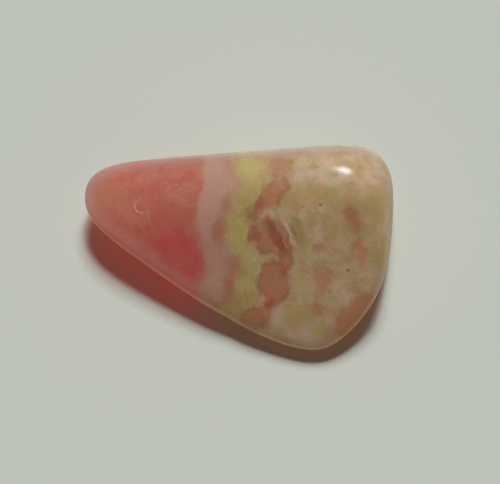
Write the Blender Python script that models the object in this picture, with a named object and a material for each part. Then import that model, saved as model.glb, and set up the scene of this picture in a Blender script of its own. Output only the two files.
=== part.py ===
"""Tumbled rhodochrosite stone: a flattish, three-cornered wedge, worn round and polished.

Metres, +Z up. The stone lies on the small flat of its underside. The origin is at the
middle of its bounding box, on the surface that it rests on. +X is its long way, from the
thin red tip at -X to the broad cream end, and +Y is its back, where it is thickest.
"""
from collections import namedtuple
from math import cos, exp, inf, pi, radians, sin, sqrt, tan

import bmesh
import bpy
from mathutils import Vector

MM = 0.001

OBJECT_NAME = "rhodochrosite_stone"
COLLECTION_NAME = "tumbled rhodochrosite stone"

# The stone is 27.5 mm long, 19.5 mm wide and 6.8 mm thick. The sizes follow from its worn
# faces, each of which lies at a distance from the core, a point inside the stone.
CORE_HEIGHT = 3.0 * MM
TOP_DOME = 200 * MM
UNDERSIDE_DOME = 100 * MM

# A face looks towards an azimuth (from +X, anticlockwise) and an elevation, in degrees, and
# lies a distance from the core, in millimetres. A dome is the radius of a crowned face.
WornFace = namedtuple("WornFace", "name azimuth elevation distance dome")
SIDE_FACES = (
    WornFace("back", 95, 26, 8.25, None),
    WornFace("back right", 44, 5, 13.35, None),
    WornFace("right end", -6, 11, 10.05, None),
    WornFace("right front", -39, -11, 10.45, None),
    WornFace("front", -110, -12, 8.95, None),
    WornFace("front left", -128, -28, 7.8, None),
    WornFace("tip", 168, -8, 18.4, None),
)
BROAD_FACES = (
    WornFace("top, towards the front", -102, 68, 2.15, TOP_DOME),
    WornFace("top, towards the tip", -156, 83, 3.2, TOP_DOME),
    WornFace("top, towards the back", 96, 64, 8.0, TOP_DOME),
    WornFace("top, towards the right end", 37, 74, 6.85, TOP_DOME),
    WornFace("underside", 0, -90, 3.1, UNDERSIDE_DOME),
    WornFace("underside, towards the tip", -159, -79, 5.7, UNDERSIDE_DOME),
)
# How sharply two neighbouring faces meet, and how sharply the sides meet the broad faces:
# a larger number leaves a crisper edge.
CORNER_SHARPNESS = 11
RIM_SHARPNESS = 7

# A hollow is a shallow dent: where it is as seen from the core, in degrees, how wide it
# is there, in degrees, and its depth in millimetres.
Hollow = namedtuple("Hollow", "name azimuth elevation width depth")
HOLLOWS = (
    Hollow("back edge", 101, 12, 11, 0.10),
    Hollow("front left edge", 238, -8, 10, 0.08),
    Hollow("under the tip", 190, -30, 12, 0.18),
    Hollow("right end, low", 14, -24, 14, 0.15),
)

# The grid that is carved: cells along each side of the cube that it starts from, and how
# far its directions are spread along X, Y and Z, so that its cells come out even.
CELLS = 22
SPREAD = Vector((1.7, 1.15, 0.45))

STONE_COLOUR = (0.36, 0.17, 0.105, 1.0)
STONE_ROUGHNESS = 0.18


def clear_scene():
    for old in list(bpy.data.objects):
        bpy.data.objects.remove(old, do_unlink=True)


def direction_of(azimuth, elevation):
    """The unit vector towards an azimuth and an elevation in degrees."""
    around, up = radians(azimuth), radians(elevation)
    return Vector((cos(up) * cos(around), cos(up) * sin(around), sin(up)))


def reach_of_face(face, direction):
    """How far from the core a face is met when going in a direction."""
    distance = face.distance * MM
    facing = direction.dot(direction_of(face.azimuth, face.elevation))
    if face.dome is None:
        return distance / facing if facing > 0 else inf
    behind = face.dome - distance
    return sqrt(face.dome**2 - behind**2 + (facing * behind) ** 2) - facing * behind


def soft_nearest(reaches, sharpness):
    """The shortest of some reaches, worn round where two of them are about equal."""
    return sum(reach**-sharpness for reach in reaches) ** (-1 / sharpness)


def worn_radius(direction):
    """The stone's radius in a direction from its core."""
    sides = soft_nearest([reach_of_face(face, direction) for face in SIDE_FACES],
                         CORNER_SHARPNESS)
    broad = soft_nearest([reach_of_face(face, direction) for face in BROAD_FACES],
                         CORNER_SHARPNESS)
    radius = soft_nearest([sides, broad], RIM_SHARPNESS)
    for hollow in HOLLOWS:
        away = direction.angle(direction_of(hollow.azimuth, hollow.elevation))
        radius -= hollow.depth * MM * exp(-((away / radians(hollow.width)) ** 2))
    return radius


def grid_direction(corner):
    """Turn a point of the cube from -1 to 1 into a direction, in nearly even steps."""
    even = Vector([tan(value * pi / 4) for value in corner]).normalized()
    return (even * SPREAD).normalized()


def centre_on_origin(bm):
    """Slide the stone so that its bounding box is centred over the origin."""
    xs = [vert.co.x for vert in bm.verts]
    ys = [vert.co.y for vert in bm.verts]
    middle = Vector((min(xs) + max(xs), min(ys) + max(ys), 0)) / 2
    bmesh.ops.translate(bm, verts=bm.verts[:], vec=-middle)


def carve_stone(mesh):
    """Fill a mesh with the stone: a cube's grid of points, each moved to the worn surface.

    What would reach below the resting surface is flat on it, which gives the small foot.
    """
    bm = bmesh.new()
    bmesh.ops.create_cube(bm, size=2)
    bmesh.ops.subdivide_edges(bm, edges=bm.edges[:], cuts=CELLS - 1, use_grid_fill=True)
    core = Vector((0, 0, CORE_HEIGHT))
    for vert in bm.verts:
        direction = grid_direction(vert.co)
        vert.co = core + direction * worn_radius(direction)
        vert.co.z = max(vert.co.z, 0)
    centre_on_origin(bm)
    for face in bm.faces:
        face.smooth = True
    bm.to_mesh(mesh)
    bm.free()


def stone_material():
    """Polished stone in the mean of its pink and cream bands."""
    material = bpy.data.materials.new("polished rhodochrosite")
    material.use_nodes = True
    shader = material.node_tree.nodes["Principled BSDF"]
    shader.inputs["Base Color"].default_value = STONE_COLOUR
    shader.inputs["Roughness"].default_value = STONE_ROUGHNESS
    shader.inputs["Metallic"].default_value = 0.0
    return material


def main():
    clear_scene()
    collection = bpy.data.collections.new(COLLECTION_NAME)
    bpy.context.scene.collection.children.link(collection)
    mesh = bpy.data.meshes.new(OBJECT_NAME)
    carve_stone(mesh)
    mesh.materials.append(stone_material())
    stone = bpy.data.objects.new(OBJECT_NAME, mesh)
    collection.objects.link(stone)


main()
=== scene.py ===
"""The looks of a tumbled rhodochrosite stone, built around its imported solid.

Laid out as an add-on and run as a script. The stone's skin is a smooth copy of the solid
with the small scars of its polishing, in a solid pattern of red, white, yellow and cream
bands. All sizes are metres unless a name or a comment says otherwise.
"""
from collections import namedtuple
from math import cos, exp, hypot, pi, radians, sin

import bmesh
import bpy
from bpy.props import FloatProperty, FloatVectorProperty, PointerProperty
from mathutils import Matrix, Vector, noise


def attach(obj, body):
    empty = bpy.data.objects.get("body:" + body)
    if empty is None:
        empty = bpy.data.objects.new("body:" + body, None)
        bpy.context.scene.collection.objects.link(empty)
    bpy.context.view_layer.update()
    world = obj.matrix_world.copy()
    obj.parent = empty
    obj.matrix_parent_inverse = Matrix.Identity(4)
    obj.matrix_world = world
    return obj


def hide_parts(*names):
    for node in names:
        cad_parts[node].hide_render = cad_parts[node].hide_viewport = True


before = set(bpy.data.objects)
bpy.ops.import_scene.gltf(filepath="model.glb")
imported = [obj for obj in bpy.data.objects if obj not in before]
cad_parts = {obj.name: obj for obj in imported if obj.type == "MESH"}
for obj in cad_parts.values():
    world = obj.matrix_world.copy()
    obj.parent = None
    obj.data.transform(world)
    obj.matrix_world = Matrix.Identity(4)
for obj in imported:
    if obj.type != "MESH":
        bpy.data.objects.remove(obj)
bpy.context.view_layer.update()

bl_info = {
    "name": "Tumbled rhodochrosite stone",
    "version": (1, 0, 0),
    "blender": (4, 5, 0),
    "location": "3D View > Sidebar > Stone",
    "description": "Makes a polished, banded rhodochrosite stone and a plain stage for it",
    "category": "Add Mesh",
}

MM = 0.001
NODE = "rhodochrosite_stone"

# The camera looks down at the stone at this elevation. The stone's bands run through it
# along the same direction, so a place in the pattern is given in millimetres as seen in the
# photograph: along is to the right from the origin, up is across the line of sight.
LOOK_DOWN = radians(65)


def tone(red, green, blue):
    """A linear colour from display values of 0 to 255."""
    channels = [value / 255 for value in (red, green, blue)]
    return tuple(c / 12.92 if c <= 0.04045 else ((c + 0.055) / 1.055) ** 2.4 for c in channels)


# The three edges between the pattern's bands: for some heights up, how far along they lie.
RED_EDGE = ((-9, -4.4), (-4.2, -4.0), (-3.4, -3.65), (-2.4, -3.2), (-1.1, -2.95), (-0.4, -3.45),
            (1.2, -3.55), (3.9, -3.7), (5.3, -3.2), (6.5, -3.2), (7.9, -3.15), (10, -2.9))
WHITE_EDGE = ((-9, -1.9), (-5.1, -1.7), (-4.4, -1.4), (-3.7, -0.2), (-3, -0.2), (-2.3, -0.35),
              (-1.6, -0.4), (-0.9, -0.2), (-0.2, -0.7), (0.5, -0.75), (1.2, -1.0), (1.9, -1.25),
              (2.6, -1.25), (3.3, -0.65), (4, -0.3), (4.7, -0.55), (5.4, -0.1), (6.1, 0.1),
              (6.8, -0.3), (7.5, -0.15), (8.2, -0.5), (10, -0.6))
YELLOW_EDGE = ((-9, 0.2), (-5.1, 0.6), (-3.9, 1.3), (-2.8, 1.4), (-1.4, 1.6), (-0.7, 1.9),
               (0.1, 1.6), (1.2, 1.0), (2.5, 0.9), (3.8, 1.0), (5.1, 1.6), (6.2, 2.2),
               (7.1, 2.35), (8.4, 2.2), (10, 1.9))
# The outline's front and back, along which rim light, sheen and shade are painted: for some places
# along, how high up they lie.
FRONT_RIM = ((-13.2, 3.1), (-12.1, 2.0), (-10, 0.3), (-7.9, -1.25), (-5.8, -2.8), (-3.7, -4.2),
             (-1.6, -5.4), (0.5, -6.5), (2.5, -7.5), (4.7, -8.2), (7.8, -8.1), (9.9, -6.9),
             (12, -4.2), (13.5, 1.0))
BACK_RIM = ((-13.2, 6.5), (-12.1, 7.2), (-10, 7.9), (-6.9, 8.3), (-3.7, 8.6), (-0.6, 8.8),
            (3.6, 9.2), (6.7, 9.4), (8.8, 9.5), (10.9, 9.3), (12, 8.9), (13.5, 6.5))
# Thin lines beside the darkest patch: points up and along, a colour and its strength.
Hairline = namedtuple("Hairline", "points colour strength")
HAIRLINES = (
    Hairline(((0.4, 4.4), (0.75, 4.15), (1.2, 3.9), (1.8, 3.75), (2.5, 3.45), (3.0, 3.15)),
             "pink_patch", 1.0),
    Hairline(((0.45, 5.2), (0.8, 4.9), (1.25, 4.55), (2.1, 4.3), (2.8, 4.0)), "cream", 0.6),
)
HAIRLINE_WIDTH = 0.17

# A shape in the pattern is an oval: its middle along and up, its half length and half width
# in millimetres, and its turn in degrees. The shapes of a family run together.
Shape = namedtuple("Shape", "along up length width turn")
RUSTY_PATCHES = (
    Shape(3.5, 7.7, 0.95, 0.75, 60),
    Shape(2.65, 4.85, 2.1, 0.6, 49),
    Shape(3.3, 1.25, 1.75, 0.6, -57),
    Shape(2.35, 1.1, 1.0, 0.87, -20),
    Shape(1.4, 1.6, 0.87, 0.44, 85),
    Shape(4.0, -0.5, 0.85, 0.38, 90),
    Shape(3.1, -2.4, 1.7, 1.35, 90),
    Shape(2.7, -4.5, 0.8, 0.48, 60),
    Shape(1.3, -5.7, 1.4, 0.87, 35),
)
PINK_PATCHES = (
    Shape(7.3, -2.4, 0.96, 0.65, 70),
    Shape(6.6, -4.7, 0.5, 0.4, 0),
    Shape(9.5, 3.4, 0.6, 0.33, -75),
    Shape(9.85, 2.65, 0.5, 0.28, -65),
    Shape(10.5, 0.0, 0.95, 0.42, 95),
    Shape(9.9, -5.2, 1.9, 0.8, 50),
)
# A family: its shapes, its colour, how soft its rims are in millimetres, how strong its
# colour is, and how strong the brown outline on its rims.
Family = namedtuple("Family", "shapes colour soft strength outline")
FAMILIES = (
    Family(RUSTY_PATCHES, "red_brown", 0.38, 0.92, 0.45),
    Family(PINK_PATCHES, "pink_patch", 0.4, 0.85, 0.2),
)
# A stain is a soft oval of one colour: how soft its rim is, as a share of its size, and how
# strong its colour. Later stains lie over earlier ones.
Stain = namedtuple("Stain", "colour along up length width turn soft strength")
BAND_STAINS = (
    # The red end.
    Stain("orange", -11.9, 4.7, 1.6, 1.2, 0, 0.6, 0.6),
    # Painted sheen on the tip's upper edge.
    Stain("rim_white", -12.0, 6.9, 1.7, 0.6, 30, 0.9, 0.35),
    Stain("crimson", -5.3, 0.3, 2.5, 1.7, -20, 0.8, 0.62),
    Stain("crimson", -6.7, 0.9, 0.7, 0.35, 0, 0.5, 0.5),
    Stain("crimson", -5.0, 0.9, 1.05, 0.8, -30, 0.5, 0.4),
    Stain("crimson", -3.7, -0.8, 0.96, 0.52, 90, 0.5, 0.6),
    Stain("crimson", -4.4, -1.8, 0.95, 0.55, 80, 0.6, 0.6),
    Stain("deep_red", -6.2, 3.2, 2.2, 0.9, 0, 0.7, 0.6),
    # The white band.
    Stain("pink", -1.6, 7.5, 0.61, 0.17, 90, 0.5, 0.6),
    Stain("pink", -1.6, 6.2, 0.44, 0.17, 90, 0.5, 0.6),
    Stain("pink", -2.3, 4.6, 0.52, 0.26, 90, 0.5, 0.5),
    Stain("pink", -2.5, 3.3, 0.44, 0.26, 90, 0.5, 0.5),
    Stain("pink", -0.1, 5.9, 0.4, 0.3, 0, 0.6, 0.6),
    Stain("pink_brown", -1.75, 2.0, 1.1, 0.42, 82, 0.9, 0.75),
    Stain("pink_brown", -0.95, -2.8, 1.2, 0.42, 80, 0.9, 0.75),
    Stain("pink_brown", -0.35, -1.1, 0.95, 0.65, -40, 0.9, 0.7),
    Stain("pink_brown", -1.1, 4.3, 0.6, 0.35, 60, 0.9, 0.55),
    # The yellow band.
    Stain("pink_brown", -0.1, -4.2, 1.0, 0.55, -30, 0.9, 0.4),
    Stain("bright_yellow", 1.1, 7.5, 0.96, 0.87, 90, 0.5, 0.9),
    Stain("bright_yellow", 1.7, 5.9, 0.7, 0.44, 100, 0.5, 0.6),
    Stain("bright_yellow", -0.1, 1.2, 0.61, 0.52, 90, 0.5, 0.5),
    Stain("bright_yellow", 1.1, -0.4, 1.05, 0.8, 100, 0.5, 0.7),
    Stain("yellow", 0.7, -2.6, 0.7, 0.52, 0, 0.5, 0.7),
    Stain("tan", 1.1, -3.8, 0.8, 0.44, 0, 0.5, 0.6),
    Stain("tan", 0.6, 4.7, 1.2, 0.7, 10, 0.9, 0.6),
    Stain("outline", 0.6, 3.7, 0.8, 0.14, 35, 0.9, 0.35),
    Stain("pale", 1.3, -0.4, 0.28, 0.24, 0, 0.6, 0.75),
    Stain("pale", 1.7, -1.4, 0.2, 0.26, 0, 0.6, 0.75),
    # The cream end.
    Stain("outline", 4.0, 1.9, 1.1, 0.2, -62, 0.6, 0.6),
    Stain("olive", 4.95, 2.5, 0.75, 0.45, -60, 0.6, 1.0),
    Stain("olive", 5.4, 1.35, 1.5, 0.36, -66, 0.6, 1.0),
    Stain("outline", 4.75, 1.75, 0.9, 0.12, -62, 0.6, 0.5),
    Stain("orange_brown", 6.9, 0.55, 0.45, 0.3, 0, 0.6, 0.5),
    Stain("bright_yellow", 6.0, 0.2, 0.8, 0.38, -78, 0.6, 0.75),
    Stain("yellow", 5.3, -2.5, 0.96, 0.52, 90, 0.5, 0.7),
    Stain("yellow", 5.4, -5.0, 1.2, 0.65, 0, 0.6, 0.65),
    Stain("pale", 5.2, -3.4, 0.9, 0.5, 0, 0.6, 0.4),
    Stain("yellow", 5.6, -3.6, 0.9, 0.5, 0, 0.6, 0.35),
    Stain("yellow", 6.6, 5.0, 2.4, 0.9, 0, 0.8, 0.35),
    Stain("pale", 4.9, -0.7, 0.8, 0.45, 90, 0.6, 0.5),
    Stain("pink_patch", 7.5, 0.4, 1.0, 0.45, 0, 0.6, 0.35),
    Stain("pale", 9.9, 1.5, 0.8, 0.3, -20, 0.9, 0.5),
    Stain("yellow", 7.0, -6.7, 0.61, 0.44, 0, 0.5, 0.7),
    Stain("olive", 12.0, 0.9, 4.6, 1.7, 95, 0.8, 0.45),
    Stain("tan", 9.0, 2.2, 3.0, 1.5, 90, 0.8, 0.5),
    Stain("tan", 5.6, -5.6, 1.6, 0.9, 0, 0.8, 0.6),
    Stain("orange_brown", 9.9, 3.2, 1.4, 0.75, -70, 0.7, 0.6),
    Stain("orange_brown", 9.4, -6.2, 1.9, 0.8, 35, 0.7, 0.6),
    Stain("olive", 9.2, 2.1, 0.61, 0.44, -70, 0.5, 0.6),
    Stain("olive", 9.7, -0.4, 0.52, 0.35, 90, 0.5, 0.6),
    Stain("olive", 11.7, 4.2, 1.5, 0.87, 0, 0.6, 0.8),
    Stain("bright_yellow", 12.7, 2.3, 0.7, 0.44, 90, 0.5, 0.5),
    Stain("olive", 12.1, -0.2, 1.1, 0.8, 90, 0.6, 0.8),
    Stain("tan", 6.2, 5.0, 2.1, 0.8, 0, 0.8, 0.6),
    Stain("pale", 5.7, 6.8, 1.1, 0.61, 0, 0.8, 0.5),
    Stain("pale", 2.0, 3.1, 0.7, 0.44, 0, 0.7, 0.5),
)
PATCH_STAINS = (
    Stain("salmon", 3.5, 7.7, 1.3, 1.0, 60, 0.5, 0.9),
    Stain("salmon", 3.0, 6.1, 0.8, 0.5, 49, 0.6, 0.5),
    Stain("dark_red", 1.6, 4.4, 0.7, 0.5, 49, 0.6, 0.5),
    Stain("orange_brown", 9.7, 3.0, 1.3, 0.8, -70, 0.6, 0.85),
    Stain("dark_red", 2.85, 2.4, 0.8, 0.45, -65, 0.5, 0.95),
    Stain("dark_red", 3.5, 1.0, 1.15, 0.55, -52, 0.5, 0.95),
    Stain("dark_red", 1.4, 1.8, 0.8, 0.5, 80, 0.8, 0.5),
    Stain("dark_red", 3.9, -1.6, 0.6, 0.35, 90, 0.5, 0.6),
    Stain("dark_red", 2.7, -4.4, 0.5, 0.3, 60, 0.5, 0.6),
)
SMALL_STAINS = (
    Stain("olive", 6.45, 7.55, 0.48, 0.24, 0, 0.5, 0.8),
    Stain("outline", 7.1, 4.1, 0.14, 0.1, 0, 0.5, 0.7),
    Stain("outline", 5.6, 3.95, 0.12, 0.09, 0, 0.5, 0.35),
    Stain("outline", 9.4, -1.45, 0.2, 0.1, 0, 0.5, 0.6),
    Stain("outline", 11.9, 6.75, 0.12, 0.1, 0, 0.5, 0.4),
    Stain("olive", 8.4, 6.85, 0.3, 0.15, 20, 0.5, 0.6),
    Stain("olive", 2.2, 5.8, 0.7, 0.17, 95, 0.5, 0.8),
    Stain("flaw", -6.2, 5.7, 0.12, 0.1, 0, 0.5, 0.6),
    Stain("flaw", -6.45, 6.15, 0.1, 0.1, 0, 0.5, 0.5),
    Stain("flaw", -5.6, 6.0, 0.12, 0.1, 0, 0.5, 0.5),
    Stain("flaw", -4.7, 6.0, 0.1, 0.08, 0, 0.5, 0.4),
    Stain("flaw", -8.0, 3.5, 0.85, 0.08, 96, 0.6, 0.35),
    Stain("crimson", -7.3, 4.2, 0.2, 0.15, 0, 0.5, 0.5),
)

# A mottle clouds a band: which noise it follows, where that noise starts and finishes to
# show, how strong it is there, and its colour.
Mottle = namedtuple("Mottle", "noise low high strength colour")
BAND_MOTTLES = {
    "red": (Mottle("cloud", 0.4, 0.65, 0.7, "deep_red"), Mottle("grain", 0.54, 0.75, 0.42, "flaw")),
    "white": (Mottle("streak", 0.4, 0.65, 0.7, "pink"),),
    "yellow": (Mottle("streak", 0.35, 0.7, 0.6, "olive"), Mottle("drift", 0.5, 0.7, 0.3, "tan")),
    "cream": (Mottle("haze", 0.35, 0.65, 0.7, "tan"), Mottle("vein", 0.45, 0.7, 0.55, "pale"),
              Mottle("drift", 0.48, 0.68, 0.5, "olive"),
              Mottle("cloud", 0.5, 0.68, 0.4, "pink_patch")),
}
PATCH_MOTTLE = Mottle("vein", 0.45, 0.7, 0.3, "salmon")

# A painted rim: where it starts and where it is full, in millimetres from the outline, and how
# strong it is. The front has painted rim light and the back a painted sheen, and each has a painted
# shade.
Rim = namedtuple("Rim", "starts full strength")
RED_FRONT_PAINTED_LIGHT = Rim(2.4, 0.2, 0.85)
BANDED_FRONT_PAINTED_LIGHT = Rim(1.1, 0.2, 0.35)
FRONT_PAINTED_SHADE = Rim(0.4, 0.0, 0.15)
BACK_PAINTED_SHEEN = Rim(1.1, 0.0, 0.72)
BACK_PAINTED_SHADE = Rim(1.5, 0.1, 0.22)
# Along the red end the back's painted sheen and painted shade fade out between these depths under
# the broad top. Past it they do so this much nearer the top, and the painted sheen loses this much
# strength.
BACK_SHEEN_FADE = (4.6, 3.1)
BACK_SHADE_FADE = (5.9, 2.9)
RED_END_DROP = 1.1
BANDED_BACK_SHEEN_LOSS = 0.12
# The tip's painted grey sheen starts and is full at these places along.
TIP_PAINTED_SHEEN = Rim(-12.3, -13.5, 0.75)

COLOURS = {
    "red": ("Red", "Translucent salmon red of the thin end", tone(205, 152, 131)),
    "deep_red": ("Deep red", "Clearer red inside the thin end", tone(197, 123, 106)),
    "orange": ("Orange", "Warmer red at the very tip", tone(183, 158, 126)),
    "crimson": ("Crimson", "Clear, deep red inside the thin end", tone(211, 96, 107)),
    # Painted rim light along the thin front edge.
    "rim_pink": ("Milky pink", "Milky pink of the thin front rim", tone(232, 190, 180)),
    # Painted sheen along the back edge and the tip's edge.
    "rim_white": ("Back rim", "Greyish milky white of the back rim", tone(205, 193, 188)),
    "flaw": ("Flaw", "Pale light of small cracks in the red", tone(240, 204, 188)),
    "white": ("White band", "Milky pinkish white", tone(208, 175, 149)),
    "pink": ("Pink", "Lilac pink line in the white band", tone(204, 165, 160)),
    "pink_brown": ("Pinkish brown", "Brownish pink beside the yellow band", tone(193, 132, 105)),
    "yellow": ("Yellow", "Olive yellow of the yellow band", tone(207, 196, 128)),
    "bright_yellow": ("Bright yellow", "Clearest yellow", tone(206, 200, 139)),
    "olive": ("Olive", "Greener yellow", tone(186, 171, 110)),
    "salmon": ("Salmon", "Light red patches", tone(196, 156, 120)),
    "red_brown": ("Red brown", "Red brown patches", tone(200, 141, 107)),
    "dark_red": ("Dark red", "Darkest red patches", tone(168, 69, 66)),
    "outline": ("Outline", "Brown rims of the patches and the pits", tone(156, 98, 68)),
    "cream": ("Cream", "Cream of the broad end", tone(223, 202, 175)),
    "pale": ("Pale cream", "Lightest cream", tone(213, 202, 178)),
    "tan": ("Tan", "Tan clouds in the cream", tone(195, 171, 111)),
    "pink_patch": ("Pink patch", "Pink patches in the cream", tone(210, 152, 115)),
    "orange_brown": ("Orange brown", "Orange brown rims in the broad end", tone(186, 136, 96)),
}


class StoneColours(bpy.types.PropertyGroup):
    """The colours of the stone's bands and patches."""


for key, (label, words, default) in COLOURS.items():
    StoneColours.__annotations__[key] = FloatVectorProperty(
        name=label, description=words, default=default, subtype="COLOR", min=0, max=1)


class StoneSurface(bpy.types.PropertyGroup):
    """How the stone's surface is polished and worn."""
    polish: FloatProperty(name="Polish roughness", description="Roughness of the clear polish",
                          default=0.18, min=0, max=1)
    coat: FloatProperty(name="Polish", description="Weight of the clear polish",
                        default=0.85, min=0, max=1)
    under_polish: FloatProperty(name="Body roughness", description="Roughness under the polish",
                                default=0.5, min=0, max=1)
    waviness: FloatProperty(name="Waviness", description="Height of the surface's slow waves",
                            default=0.012 * MM, min=0, unit="LENGTH", precision=6)
    pit_depth: FloatProperty(name="Pit depth", description="Depth of the small pits",
                             default=0.05 * MM, min=0, unit="LENGTH", precision=6)
    cleft_depth: FloatProperty(name="Cleft depth", description="Depth of the shallow cleft",
                               default=0.05 * MM, min=0, unit="LENGTH", precision=6)


class StudioSettings(bpy.types.PropertyGroup):
    """The stage's light, floor and camera."""
    light_azimuth: FloatProperty(name="Light azimuth", description="Where the light comes from",
                                 default=radians(83), subtype="ANGLE")
    light_elevation: FloatProperty(name="Light elevation", description="How high the light is",
                                   default=radians(48.5), subtype="ANGLE")
    light_size: FloatProperty(name="Light size", description="Angle that the shade fills",
                              default=0.4, subtype="ANGLE")
    light_strength: FloatProperty(name="Light strength", description="Strength of the shade",
                                  default=2.41, min=0)
    bulb_elevation: FloatProperty(name="Bulb elevation", description="How high the bulb is",
                                  default=radians(55), subtype="ANGLE")
    bulb_size: FloatProperty(name="Bulb size", description="Angle that the bulb fills",
                             default=0.12, subtype="ANGLE")
    bulb_strength: FloatProperty(name="Bulb strength", description="Strength of the bulb",
                                 default=0.52, min=0)
    fill_strength: FloatProperty(name="Fill", description="Strength of the surrounding light",
                                 default=0.068, min=0)
    floor_colour: FloatVectorProperty(name="Floor", description="Colour of the pale floor",
                                      default=(0.665, 0.70, 0.625), subtype="COLOR",
                                      min=0, max=1)
    camera_distance: FloatProperty(name="Camera distance", description="Distance to the stone",
                                   default=180 * MM, unit="LENGTH")


# Geometry of the skin

def as_seen(point):
    """How far along and up a point lies in the pattern, in millimetres."""
    return point.x / MM, (point.y * sin(LOOK_DOWN) + point.z * cos(LOOK_DOWN)) / MM


# Small scars of the polished surface: where they are along and up and their radius, in
# millimetres, and how deep they are, as a share of the surface's pit depth.
Pit = namedtuple("Pit", "along up radius depth")
PITS = (
    Pit(6.45, 7.55, 0.28, 0.15),
    Pit(7.1, 4.1, 0.1, 0.9),
    Pit(5.6, 3.95, 0.09, 0.3),
    Pit(9.3, -1.45, 0.16, 0.9),
    Pit(11.9, 6.75, 0.12, 0.5),
    Pit(-6.2, 5.7, 0.12, 0.5),
    Pit(-0.8, -5.7, 0.35, 1.4),
)
# A ring bruise: where a knock left a small curved crack, brightest towards one side.
BRUISE = Pit(-8.63, 4.06, 0.45, 0.5)
BRUISE_WIDTH = 0.09
BRUISE_SIDE = Vector((-0.75, -0.65))
# A shallow cleft follows the first hairline, and the patch beside it lies a little lower.
CLEFT = HAIRLINES[0].points
CLEFT_WIDTH = 0.12
SUNK_WIDTH = 0.8
SUNK_SHARE = 0.5
# The slow waves of the polish, and finer ones on them as shares of their length and height.
WAVE_LENGTH = 3.2 * MM
RIPPLE_LENGTH = 0.3
RIPPLE_HEIGHT = 0.4
# Scars lie only where the skin faces up at least this much. A pit and the bruise's ring
# are worked out as far as this many times their radius and width.
TOP_FACING = 0.25
PIT_REACH = 2.5
RING_REACH = 3
# How far around each scar's middle the skin's cells are split, a pit's in times its radius
# and millimetres more, and how many times they are cut.
PIT_SPREAD = 2.2
PIT_ROOM = 0.15
BRUISE_ROOM = 0.8
CLEFT_ROOM = 0.7
SCAR_CUTS = 2
# The solid's triangles are paired into four-sided cells where they are this flat and this
# near square, and are then smoothed.
FLAT_ANGLE = radians(25)
SQUARE_ANGLE = radians(70)
SMOOTH_LEVELS = 2


def along_at(points, up):
    """How far along a line of points lies at a height, or None past its ends."""
    for (low, start), (high, end) in zip(points, points[1:]):
        if low <= up <= high:
            return start + (end - start) * (up - low) / (high - low)
    return None


def cleft_profile(along, up):
    """The cleft's relief at a place in the pattern: 0 beside it and about -1 in it."""
    line = along_at(CLEFT, up)
    if line is None:
        return 0.0
    run = (up - CLEFT[0][0]) / (CLEFT[-1][0] - CLEFT[0][0])
    fade = 1 - abs(2 * run - 1) ** 4
    beside = line - along
    away = beside / CLEFT_WIDTH
    groove = exp(-((away - 0.5) ** 2) * 2)
    sunk = SUNK_SHARE * max(0.0, min(1.0, away)) * exp(-((beside / SUNK_WIDTH) ** 2))
    return -fade * max(groove, sunk)


def skin_relief(point, normal, surface):
    """How far the skin stands off the solid at a point, along its normal."""
    ripples = noise.noise(point / (WAVE_LENGTH * RIPPLE_LENGTH))
    height = (noise.noise(point / WAVE_LENGTH) + RIPPLE_HEIGHT * ripples) * surface.waviness
    if normal.z < TOP_FACING:
        return height
    along, up = as_seen(point)
    for pit in PITS:
        away = hypot(along - pit.along, up - pit.up) / pit.radius
        if away < PIT_REACH:
            height -= surface.pit_depth * pit.depth * exp(-(away**2))
    away = (hypot(along - BRUISE.along, up - BRUISE.up) - BRUISE.radius) / BRUISE_WIDTH
    if away < RING_REACH:
        height -= surface.pit_depth * BRUISE.depth * exp(-(away**2))
    return height + surface.cleft_depth * cleft_profile(along, up)


def refine_scars(bm):
    """Split the skin's cells finely where the scars are."""
    spots = [(Vector((pit.along, pit.up)), pit.radius * PIT_SPREAD + PIT_ROOM) for pit in PITS]
    spots.append((Vector((BRUISE.along, BRUISE.up)), BRUISE_ROOM))
    spots += [(Vector((along, up)), CLEFT_ROOM) for up, along in CLEFT]

    def is_near(vert):
        place = Vector(as_seen(vert.co))
        return any((place - spot).length < reach for spot, reach in spots)

    near = {vert for vert in bm.verts if vert.normal.z > TOP_FACING and is_near(vert)}
    edges = [edge for edge in bm.edges if edge.verts[0] in near and edge.verts[1] in near]
    bmesh.ops.subdivide_edges(bm, edges=edges, cuts=SCAR_CUTS, use_grid_fill=True, smooth=0.0)


def make_skin(surface):
    """A smooth, scarred copy of the solid, as an object."""
    bm = bmesh.new()
    bm.from_mesh(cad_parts[NODE].data)
    bmesh.ops.remove_doubles(bm, verts=bm.verts[:], dist=0.001 * MM)
    bmesh.ops.join_triangles(bm, faces=bm.faces[:], angle_face_threshold=FLAT_ANGLE,
                             angle_shape_threshold=SQUARE_ANGLE)
    mesh = bpy.data.meshes.new("stone_skin")
    bm.to_mesh(mesh)
    bm.free()
    skin = bpy.data.objects.new("stone_skin", mesh)
    bpy.context.scene.collection.objects.link(skin)
    smooth = skin.modifiers.new("smooth", "SUBSURF")
    smooth.levels = smooth.render_levels = SMOOTH_LEVELS
    depsgraph = bpy.context.evaluated_depsgraph_get()
    smoothed = bpy.data.meshes.new_from_object(skin.evaluated_get(depsgraph))
    skin.modifiers.clear()
    bm = bmesh.new()
    bm.from_mesh(smoothed)
    refine_scars(bm)
    bm.normal_update()
    moves = [skin_relief(vert.co, vert.normal, surface) * vert.normal for vert in bm.verts]
    for vert, move in zip(bm.verts, moves):
        vert.co += move
        vert.co.z = max(vert.co.z, 0)
    for face in bm.faces:
        face.smooth = True
    bm.to_mesh(mesh)
    bm.free()
    bpy.data.meshes.remove(smoothed)
    return skin


# Shader building

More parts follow.
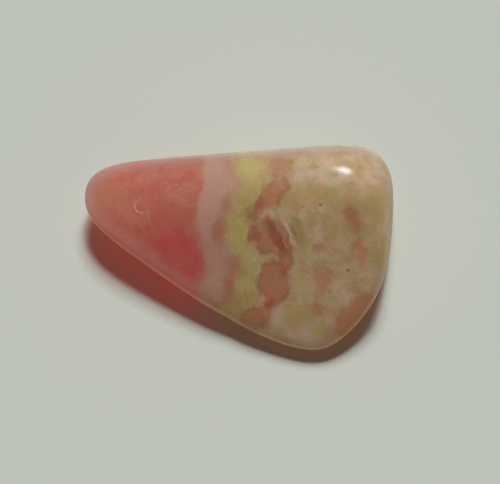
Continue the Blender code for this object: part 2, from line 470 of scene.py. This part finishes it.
class Value:
    """A shader socket. Arithmetic on it adds Math nodes."""

    def __init__(self, shader, socket):
        self.shader = shader
        self.socket = socket

    def math(self, operation, *terms):
        return self.shader.add("ShaderNodeMath", {"operation": operation},
                               dict(enumerate(terms)))

    def __add__(self, other):
        return self.math("ADD", self, other)

    def __radd__(self, other):
        return self.math("ADD", other, self)

    def __sub__(self, other):
        return self.math("SUBTRACT", self, other)

    def __rsub__(self, other):
        return self.math("SUBTRACT", other, self)

    def __mul__(self, other):
        return self.math("MULTIPLY", self, other)

    def __rmul__(self, other):
        return self.math("MULTIPLY", other, self)

    def __truediv__(self, other):
        return self.math("DIVIDE", self, other)

    def __abs__(self):
        return self.math("ABSOLUTE", self)


class Shader:
    """Adds nodes to a material's tree."""

    def __init__(self, material):
        material.use_nodes = True
        self.tree = material.node_tree
        self.tree.nodes.clear()

    def add(self, kind, settings, sockets, output=0):
        """One node: its settings first, then the values or links of its sockets."""
        node = self.tree.nodes.new(kind)
        for name, value in settings.items():
            if name == "points":
                self.set_curve(node, value)
            else:
                setattr(node, name, value)
        for name, value in sockets.items():
            if isinstance(value, Value):
                self.tree.links.new(value.socket, node.inputs[name])
            else:
                node.inputs[name].default_value = value
        return Value(self, node.outputs[output]) if node.outputs else None

    @staticmethod
    def set_curve(node, points):
        curve = node.mapping.curves[0]
        curve.points[0].location = points[0]
        curve.points[1].location = points[-1]
        for point in points[1:-1]:
            curve.points.new(*point)
        node.mapping.update()

    def blend(self, amount, first, second):
        """A colour that goes from the first to the second by an amount."""
        return self.add("ShaderNodeMix", {"data_type": "RGBA"},
                        {0: amount, 6: colour(first), 7: colour(second)}, output=2)

    def step(self, value, low, high):
        """0 below low, 1 above high, and smooth between them."""
        return self.add("ShaderNodeMapRange", {"interpolation_type": "SMOOTHSTEP"},
                        {"Value": value, "From Min": low, "From Max": high})

    def noise(self, place, scale, detail=3.0, roughness=0.55, output=0):
        """Noise of about 0 to 1 with a mean of 0.5, or with output 1 three such noises."""
        return self.add("ShaderNodeTexNoise", {},
                        {"Vector": place, "Scale": scale, "Detail": detail,
                         "Roughness": roughness}, output)

    def channels(self, source):
        """The three numbers of a colour."""
        return [self.add("ShaderNodeSeparateColor", {}, {0: source}, output)
                for output in range(3)]

    def follow(self, value, points):
        """The second number of some points, as a smooth curve read at the first."""
        low, high = points[0][0], points[-1][0]
        least = min(reading for _, reading in points)
        most = max(reading for _, reading in points)
        scaled = [((at - low) / (high - low), (reading - least) / (most - least))
                  for at, reading in points]
        curve = self.add("ShaderNodeFloatCurve", {"points": scaled},
                         {"Value": (value - low) / (high - low)})
        return curve * (most - least) + least

    def mix_shaders(self, share, first, second):
        return self.add("ShaderNodeMixShader", {}, {0: share, 1: first, 2: second})


def colour(value):
    return value if isinstance(value, Value) or len(value) == 4 else (*value, 1.0)


# The stone's pattern

# The broad top's plane, so that a depth below it can be told: its lean forward and its
# distance from the origin in millimetres. Below it the bands meander.
TOP_LEAN = radians(22)
TOP_HEIGHT = 4.9
MEANDER = 0.12
MEANDER_SCALE = 0.16
# How far the pattern's edges waver in long and in short swings, in millimetres, and how
# close together the swings are.
WOBBLE = 0.42
WOBBLE_SCALE = 0.75
FINE_WOBBLE = 0.22
FINE_WOBBLE_SCALE = 3.2
# How close together the clouds and the grains are. Streaks are drawn out up the stone.
CLOUD_SCALE = 0.7
GRAIN_SCALE = 4.0
STREAKS_ACROSS = 2.2
STREAKS_UP = 0.8
# Where a band starts and finishes to take over from the one before, past their edge.
RED_BLUR = (-0.4, 0.45)
WHITE_BLUR = (-0.6, 0.5)
YELLOW_BLUR = (-0.5, 0.55)
# A brownish seam before the yellow band: where it rises and falls, and its clouds.
SEAM_RISE = (-1.5, -0.5)
SEAM_FALL = (0.35, -0.1)
SEAM_CLOUD = (0.3, 0.6)
SEAM_STRENGTH = 0.5
# How ragged the patches are, how far they swell past their ovals, how softly the ovals of
# a family join, and how far out their depth is told, in times their size.
RAGGED = 0.75
SWELL = 0.1
JOIN = 0.3
FAMILY_REACH = 4.0
# A patch's brown outline: how far out of its soft rim it starts, as a share of that rim,
# where it is full, where it ends inside the patch, and the haze that breaks it up.
OUTLINE_START = 0.8
OUTLINE_FULL = 0.05
OUTLINE_END = (0.42, 0.1)
OUTLINE_HAZE = (0.42, 0.62)
# A hairline fades in and out over this length at its ends, and is full this far across.
HAIRLINE_ENDS = 0.3
HAIRLINE_FULL = 0.3
# The bruise's ring is this many times as wide in light as in depth. Its light is faint all
# round, and strong on its bright side.
BRUISE_SPREAD = 1.5
BRUISE_TURN = (-0.15, 0.35)
BRUISE_BRIGHT = 0.85
BRUISE_FAINT = 0.12
# The finest speckle swings the stone's light by this share in all, half of it up.
SPECKLE = 0.14
SPECKLE_GRAIN = (0.3, 0.7)


def pattern_place(shader):
    """The pattern's wavering along and up, the depth under the top, and the plain place."""
    place = shader.add("ShaderNodeTexCoord", {}, {}, output=3)
    place = shader.add("ShaderNodeVectorMath", {"operation": "SCALE"}, {0: place, "Scale": 1 / MM})
    x, y, z = [shader.add("ShaderNodeSeparateXYZ", {}, {0: place}, output=i) for i in range(3)]
    up = y * sin(LOOK_DOWN) + z * cos(LOOK_DOWN)
    depth = TOP_HEIGHT - (z * cos(TOP_LEAN) - y * sin(TOP_LEAN))
    depth = depth.math("MAXIMUM", depth, 0.0)
    slow = shader.channels(shader.noise(place, MEANDER_SCALE, 1.0, output=1))
    quick = shader.channels(shader.noise(place, WOBBLE_SCALE, 2.0, output=1))
    fine = shader.channels(shader.noise(place, FINE_WOBBLE_SCALE, 3.0, output=1))

    def shift(channel):
        return ((slow[channel] - 0.5) * depth * (2 * MEANDER)
                + (quick[channel] - 0.5) * (2 * WOBBLE) + (fine[channel] - 0.5) * (2 * FINE_WOBBLE))

    return x + shift(0), up + shift(1), depth, place


def stone_noises(shader, along, up, place):
    """The noises that the stone's mottles and patches follow, by name."""
    cloud, haze, drift = shader.channels(shader.noise(place, CLOUD_SCALE, 3.0, output=1))
    grain = shader.noise(place, GRAIN_SCALE, 4.0, 0.65)
    streaky = shader.add("ShaderNodeCombineXYZ", {},
                         {0: along * STREAKS_ACROSS, 1: up * STREAKS_UP, 2: 0.0})
    streak, vein, ragged = shader.channels(shader.noise(streaky, 1.0, 4.0, 0.6, output=1))
    return {"cloud": cloud, "haze": haze, "drift": drift, "grain": grain, "streak": streak,
            "vein": vein, "ragged": ragged}


def nearness(shader, spot, shape, reach):
    """1 in an oval's middle, falling evenly to 0 at its rim times a reach."""
    inside = shader.add("ShaderNodeMapping", {"vector_type": "TEXTURE"},
                        {"Vector": spot, "Location": (shape.along, shape.up, 0),
                         "Rotation": (0, 0, radians(shape.turn)),
                         "Scale": (shape.length * reach, shape.width * reach, 1)})
    return shader.add("ShaderNodeTexGradient", {"gradient_type": "SPHERICAL"},
                      {"Vector": inside}, output=1)


def clouded(shader, base, mottles, noises, colours):
    """A base colour clouded by mottles."""
    for mottle in mottles:
        amount = shader.step(noises[mottle.noise], mottle.low, mottle.high) * mottle.strength
        base = shader.blend(amount, base, getattr(colours, mottle.colour))
    return base


def stained(shader, base, spot, stains, colours):
    """A base colour with stains laid over it."""
    for stain in stains:
        reach = 1 + stain.soft
        near = nearness(shader, spot, stain, reach)
        amount = shader.step(near, 0.0, 2 * stain.soft / reach) * stain.strength
        base = shader.blend(amount, base, getattr(colours, stain.colour))
    return base


def banded(shader, along, up, noises, colours):
    """The colour of the four bands, and where it is past the red one."""
    after_red, after_white, after_yellow = [along - shader.follow(up, edge)
                                            for edge in (RED_EDGE, WHITE_EDGE, YELLOW_EDGE)]
    red, white, yellow, cream = [clouded(shader, getattr(colours, band), mottles, noises, colours)
                                 for band, mottles in BAND_MOTTLES.items()]
    in_white = shader.step(after_red, *RED_BLUR)
    base = shader.blend(in_white, red, white)
    seam = shader.step(after_white, *SEAM_RISE) * shader.step(after_white, *SEAM_FALL)
    seam = seam * shader.step(noises["cloud"], *SEAM_CLOUD) * SEAM_STRENGTH
    base = shader.blend(seam, base, colours.pink_brown)
    base = shader.blend(shader.step(after_white, *WHITE_BLUR), base, yellow)
    base = shader.blend(shader.step(after_yellow, *YELLOW_BLUR), base, cream)
    return base, in_white


def family_depth(shader, spot, shapes):
    """How deep in a family's merged shapes a place lies, in about millimetres."""
    merged = None
    for shape in shapes:
        near = nearness(shader, spot, shape, FAMILY_REACH)
        depth = (near * FAMILY_REACH - (FAMILY_REACH - 1)) * shape.width
        merged = depth if merged is None else merged.math("SMOOTH_MAX", merged, depth, JOIN)
    return merged


def patched(shader, base, spot, noises, colours):
    """A base colour with the families of patches and their broken outlines on it."""
    wild = (noises["ragged"] - 0.5) * RAGGED + SWELL
    for family in FAMILIES:
        inside = family_depth(shader, spot, family.shapes) + wild
        patch = stained(shader, getattr(colours, family.colour), spot, PATCH_STAINS, colours)
        patch = clouded(shader, patch, [PATCH_MOTTLE], noises, colours)
        amount = shader.step(inside, -family.soft, family.soft) * family.strength
        base = shader.blend(amount, base, patch)
        outline = (shader.step(inside, -family.soft * OUTLINE_START, OUTLINE_FULL)
                   * shader.step(inside, *OUTLINE_END))
        outline = outline * shader.step(noises["haze"], *OUTLINE_HAZE) * family.outline
        base = shader.blend(outline, base, colours.outline)
    return base


def on_line(shader, along, up, points, width):
    """1 on a thin line through some points and 0 beside it or past its ends."""
    beside = abs(along - shader.follow(up, points))
    low, high = points[0][0], points[-1][0]
    ends = (shader.step(up, low, low + HAIRLINE_ENDS)
            * shader.step(up, high, high - HAIRLINE_ENDS))
    return shader.step(beside, width, width * HAIRLINE_FULL) * ends


def hairlined(shader, base, along, up, colours):
    """A base colour with the thin lines on it."""
    for hairline in HAIRLINES:
        line = on_line(shader, along, up, hairline.points, HAIRLINE_WIDTH)
        base = shader.blend(line * hairline.strength, base, getattr(colours, hairline.colour))
    return base


def bruise_light(shader, spot):
    """The bright ring of the bruise, brightest on one side."""
    place = shader.add("ShaderNodeVectorMath", {"operation": "SUBTRACT"},
                       {0: spot, 1: (BRUISE.along, BRUISE.up, 0)})
    away = shader.add("ShaderNodeVectorMath", {"operation": "LENGTH"}, {0: place}, output=1)
    side = shader.add("ShaderNodeVectorMath", {"operation": "DOT_PRODUCT"},
                      {0: place, 1: (*BRUISE_SIDE, 0)}, output=1)
    ring = shader.step(abs(away - BRUISE.radius), BRUISE_WIDTH * BRUISE_SPREAD, 0.0)
    return ring * (shader.step(side, *BRUISE_TURN) * BRUISE_BRIGHT + BRUISE_FAINT)


def rim_at(shader, distance, rim):
    """A painted rim's strength at a distance from the outline."""
    return shader.step(distance, rim.starts, rim.full) * rim.strength


def paint_rim_light_and_shade(shader, base, along, up, depth, in_white, colours):
    """A base colour with painted rim light and sheen on it, and the factor of painted shade at the
    back and front edges.
    """
    front = up - shader.follow(along, FRONT_RIM)
    back = shader.follow(along, BACK_RIM) - up
    below = depth + in_white * RED_END_DROP
    # Painted rim light along the thin front edge: pink at the red end, pale cream across the bands.
    base = shader.blend(rim_at(shader, front, RED_FRONT_PAINTED_LIGHT) * (1 - in_white), base,
                        colours.rim_pink)
    base = shader.blend(rim_at(shader, front, BANDED_FRONT_PAINTED_LIGHT) * in_white, base, colours.pale)
    # Painted grey sheen along the back edge.
    painted_back_sheen = (shader.step(back, BACK_PAINTED_SHEEN.starts, BACK_PAINTED_SHEEN.full)
                  * shader.step(below, *BACK_SHEEN_FADE)
                  * (BACK_PAINTED_SHEEN.strength - in_white * BANDED_BACK_SHEEN_LOSS))
    base = shader.blend(painted_back_sheen, base, colours.rim_white)
    # Painted grey sheen along the tip's edge.
    base = shader.blend(rim_at(shader, along, TIP_PAINTED_SHEEN), base, colours.rim_white)
    # Painted shade along the back and front edges, returned as a factor on the colour.
    painted_back_shade = rim_at(shader, back, BACK_PAINTED_SHADE) * shader.step(below, *BACK_SHADE_FADE)
    return base, 1 - painted_back_shade - rim_at(shader, front, FRONT_PAINTED_SHADE)


def stone_colour(shader, along, up, depth, place, colours):
    """The stone's colour with its painted rim light, sheen and shade, and where it turns from clear
    red to milky.
    """
    spot = shader.add("ShaderNodeCombineXYZ", {}, {0: along, 1: up, 2: 0.0})
    noises = stone_noises(shader, along, up, place)
    base, in_white = banded(shader, along, up, noises, colours)
    base = stained(shader, base, spot, BAND_STAINS, colours)
    base = patched(shader, base, spot, noises, colours)
    base = hairlined(shader, base, along, up, colours)
    base = stained(shader, base, spot, SMALL_STAINS, colours)
    base = shader.blend(bruise_light(shader, spot), base, colours.flaw)
    # The rims' painted shade comes back as a factor, light, that dims the colour below.
    base, light = paint_rim_light_and_shade(shader, base, along, up, depth, in_white, colours)
    speckle = shader.step(noises["grain"], *SPECKLE_GRAIN) * SPECKLE + (1 - SPECKLE / 2)
    base = shader.add("ShaderNodeVectorMath", {"operation": "SCALE"},
                      {0: base, "Scale": speckle * light})
    return base, in_white


# The stone's finish. Light that comes through the stone reddens its shadow.

# How far red, green and blue light go into the clear red stone and into the milky stone.
CLEAR_SCATTER = (1.0, 0.15, 0.12)
CLEAR_DEPTH = 10 * MM
MILKY_SCATTER = (1.0, 0.55, 0.35)
MILKY_DEPTH = 5 * MM
# The share of light that passes right through each, and its colour. The clear stone's share
# goes from none where the skin is seen edge-on, at 1, to full from the second number down.
CLEAR_THROUGH = 0.35
CLEAR_THROUGH_COLOUR = (0.95, 0.42, 0.33, 1.0)
CLEAR_THROUGH_FACING = (1.0, 0.6)
MILKY_THROUGH = 0.2
MILKY_THROUGH_COLOUR = (0.95, 0.75, 0.55, 1.0)
# How much light the stone lets into its shadow, how much less past the red end, where
# along that end is left, and the light's colour on either side.
SHADOW_LIGHT = 0.43
SHADOW_LIGHT_LOSS = 0.15
RED_END_LEFT = (-6.0, 1.0)
RED_SHADOW = (1.0, 0.1, 0.1, 1.0)
WARM_SHADOW = (1.0, 0.45, 0.3, 1.0)
# The polish mirrors less where the skin is seen nearly edge-on, at 1: from where, to where,
# and how much less.
POLISH_FACING = (0.3, 0.9)
POLISH_LOSS = 0.6
# How uneven the stone under the polish is in roughness, and its slight bumps.
UNEVEN_ROUGHNESS = 0.12
UNEVEN_SCALE = 1.4
BUMP_SCALE = 1.8
BUMP_HEIGHT = 0.05 * MM
BUMP_STRENGTH = 0.06


def stone_body(shader, common, scatter, depth, through, through_colour):
    """Polished stone that light goes into, and a share of it right through."""
    body = shader.add("ShaderNodeBsdfPrincipled", {"subsurface_method": "RANDOM_WALK"},
                      {**common, "Subsurface Radius": scatter, "Subsurface Scale": depth})
    passing = shader.add("ShaderNodeBsdfTranslucent", {}, {"Color": through_colour})
    return shader.mix_shaders(through, body, passing)


def shadow_light(shader, body, along):
    """What the lamp meets: the stone's body, with some of its light let through."""
    red = shader.add("ShaderNodeBsdfTransparent", {}, {"Color": RED_SHADOW})
    warm = shader.add("ShaderNodeBsdfTransparent", {}, {"Color": WARM_SHADOW})
    past_red = shader.step(along, *RED_END_LEFT)
    return shader.mix_shaders(SHADOW_LIGHT - past_red * SHADOW_LIGHT_LOSS, body,
                              shader.mix_shaders(past_red, red, warm))


def stone_material(colours, surface):
    """Polished, banded stone: clear red at one end, milky bands and patches beyond."""
    material = bpy.data.materials.new("polished rhodochrosite")
    shader = Shader(material)
    along, up, depth, place = pattern_place(shader)
    base, milkiness = stone_colour(shader, along, up, depth, place, colours)
    uneven = shader.noise(place, UNEVEN_SCALE, 4.0)
    rough = surface.under_polish + (uneven - 0.5) * UNEVEN_ROUGHNESS
    bump = shader.add("ShaderNodeBump", {},
                      {"Strength": BUMP_STRENGTH, "Distance": BUMP_HEIGHT,
                       "Height": shader.noise(place, BUMP_SCALE, 4.0)})
    facing = shader.add("ShaderNodeLayerWeight", {}, {"Blend": 0.5}, output=1)
    coat = (1 - shader.step(facing, *POLISH_FACING) * POLISH_LOSS) * surface.coat
    common = {"Base Color": base, "Roughness": rough, "Normal": bump, "Metallic": 0.0,
              "IOR": 1.6, "Specular IOR Level": 0.3, "Coat Weight": coat,
              "Coat Roughness": surface.polish, "Coat IOR": 1.5, "Subsurface Weight": 1.0}
    clear_through = shader.step(facing, *CLEAR_THROUGH_FACING) * CLEAR_THROUGH
    clear = stone_body(shader, common, CLEAR_SCATTER, CLEAR_DEPTH, clear_through,
                       CLEAR_THROUGH_COLOUR)
    milky = stone_body(shader, common, MILKY_SCATTER, MILKY_DEPTH, MILKY_THROUGH,
                       MILKY_THROUGH_COLOUR)
    body = shader.mix_shaders(milkiness, clear, milky)
    is_shadow = shader.add("ShaderNodeLightPath", {}, {}, output=1)
    surface_out = shader.mix_shaders(is_shadow, body, shadow_light(shader, body, along))
    shader.add("ShaderNodeOutputMaterial", {"target": "ALL"}, {"Surface": surface_out})
    return material


# The stage

CAMERA_TARGET = Vector((0.970, -0.530, 3.5)) * MM
PIXEL = 27 * MM / 309
FRAME_WIDTH = 500
SENSOR = 36.0
FLOOR_SIZE = 3.0
ROOM_COLOUR = (1.0, 0.97, 0.93, 1.0)


def make_floor(studio):
    bm = bmesh.new()
    bmesh.ops.create_grid(bm, x_segments=1, y_segments=1, size=FLOOR_SIZE / 2)
    mesh = bpy.data.meshes.new("floor")
    bm.to_mesh(mesh)
    bm.free()
    floor = bpy.data.objects.new("floor", mesh)
    bpy.context.scene.collection.objects.link(floor)
    material = bpy.data.materials.new("pale paper")
    shader = Shader(material)
    paper = shader.add("ShaderNodeBsdfPrincipled", {},
                       {"Base Color": colour(studio.floor_colour[:]), "Roughness": 0.9,
                        "Specular IOR Level": 0.15})
    shader.add("ShaderNodeOutputMaterial", {}, {"Surface": paper})
    mesh.materials.append(material)
    return floor


def direction_of(azimuth, elevation):
    return Vector((cos(elevation) * cos(azimuth), cos(elevation) * sin(azimuth), sin(elevation)))


def add_lamp(name, towards, strength, size):
    lamp = bpy.data.lights.new(name, "SUN")
    lamp.energy = strength
    lamp.angle = size
    holder = bpy.data.objects.new(name, lamp)
    holder.rotation_euler = towards.to_track_quat("Z", "Y").to_euler()
    bpy.context.scene.collection.objects.link(holder)
    return holder


def make_lights(studio):
    """A lamp as a wide, soft shade and the small bulb in it that polish mirrors."""
    shade = add_lamp("soft shade", direction_of(studio.light_azimuth, studio.light_elevation),
                     studio.light_strength, studio.light_size)
    shade.visible_glossy = False
    add_lamp("bulb", direction_of(studio.light_azimuth, studio.bulb_elevation),
             studio.bulb_strength, studio.bulb_size)
    world = bpy.data.worlds.new("dim room")
    bpy.context.scene.world = world
    world.use_nodes = True
    background = world.node_tree.nodes["Background"]
    background.inputs["Color"].default_value = ROOM_COLOUR
    background.inputs["Strength"].default_value = studio.fill_strength


def make_camera(studio):
    data = bpy.data.cameras.new("camera")
    data.sensor_width = SENSOR
    data.lens = studio.camera_distance / PIXEL * SENSOR / FRAME_WIDTH
    data.clip_start = 5 * MM
    camera = bpy.data.objects.new("camera", data)
    back = direction_of(-pi / 2, LOOK_DOWN)
    camera.location = CAMERA_TARGET + back * studio.camera_distance
    camera.rotation_euler = (pi / 2 - LOOK_DOWN, 0, 0)
    bpy.context.scene.collection.objects.link(camera)
    bpy.context.scene.camera = camera


class STONE_OT_make_stone(bpy.types.Operator):
    """Make the polished stone's skin over its solid"""
    bl_idname = "stone.make_stone"
    bl_label = "Make the stone"

    def execute(self, context):
        skin = make_skin(context.scene.stone_surface)
        skin.data.materials.append(stone_material(context.scene.stone_colours,
                                                  context.scene.stone_surface))
        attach(skin, "root")
        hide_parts(NODE)
        return {"FINISHED"}


class STONE_OT_make_stage(bpy.types.Operator):
    """Make the pale floor, the soft light and the camera"""
    bl_idname = "stone.make_stage"
    bl_label = "Make the stage"

    def execute(self, context):
        studio = context.scene.stone_studio
        make_floor(studio)
        make_lights(studio)
        make_camera(studio)
        context.scene.view_settings.view_transform = "Standard"
        return {"FINISHED"}


class STONE_PT_panel(bpy.types.Panel):
    """The stone's operators and settings"""
    bl_idname = "STONE_PT_panel"
    bl_label = "Rhodochrosite stone"
    bl_space_type = "VIEW_3D"
    bl_region_type = "UI"
    bl_category = "Stone"

    def draw(self, context):
        layout = self.layout
        for group, operator in (("stone_surface", "stone.make_stone"),
                                ("stone_colours", None), ("stone_studio", "stone.make_stage")):
            settings = getattr(context.scene, group)
            column = layout.column()
            for name in settings.__annotations__:
                column.prop(settings, name)
            if operator:
                layout.operator(operator)


CLASSES = (StoneColours, StoneSurface, StudioSettings, STONE_OT_make_stone,
           STONE_OT_make_stage, STONE_PT_panel)
GROUPS = {"stone_colours": StoneColours, "stone_surface": StoneSurface,
          "stone_studio": StudioSettings}


def register():
    for cls in CLASSES:
        bpy.utils.register_class(cls)
    for name, group in GROUPS.items():
        setattr(bpy.types.Scene, name, PointerProperty(type=group))


def unregister():
    for name in GROUPS:
        delattr(bpy.types.Scene, name)
    for cls in reversed(CLASSES):
        bpy.utils.unregister_class(cls)


def main():
    register()
    bpy.ops.stone.make_stone()
    bpy.ops.stone.make_stage()
    bpy.context.view_layer.update()


if __name__ == "__main__":
    main()
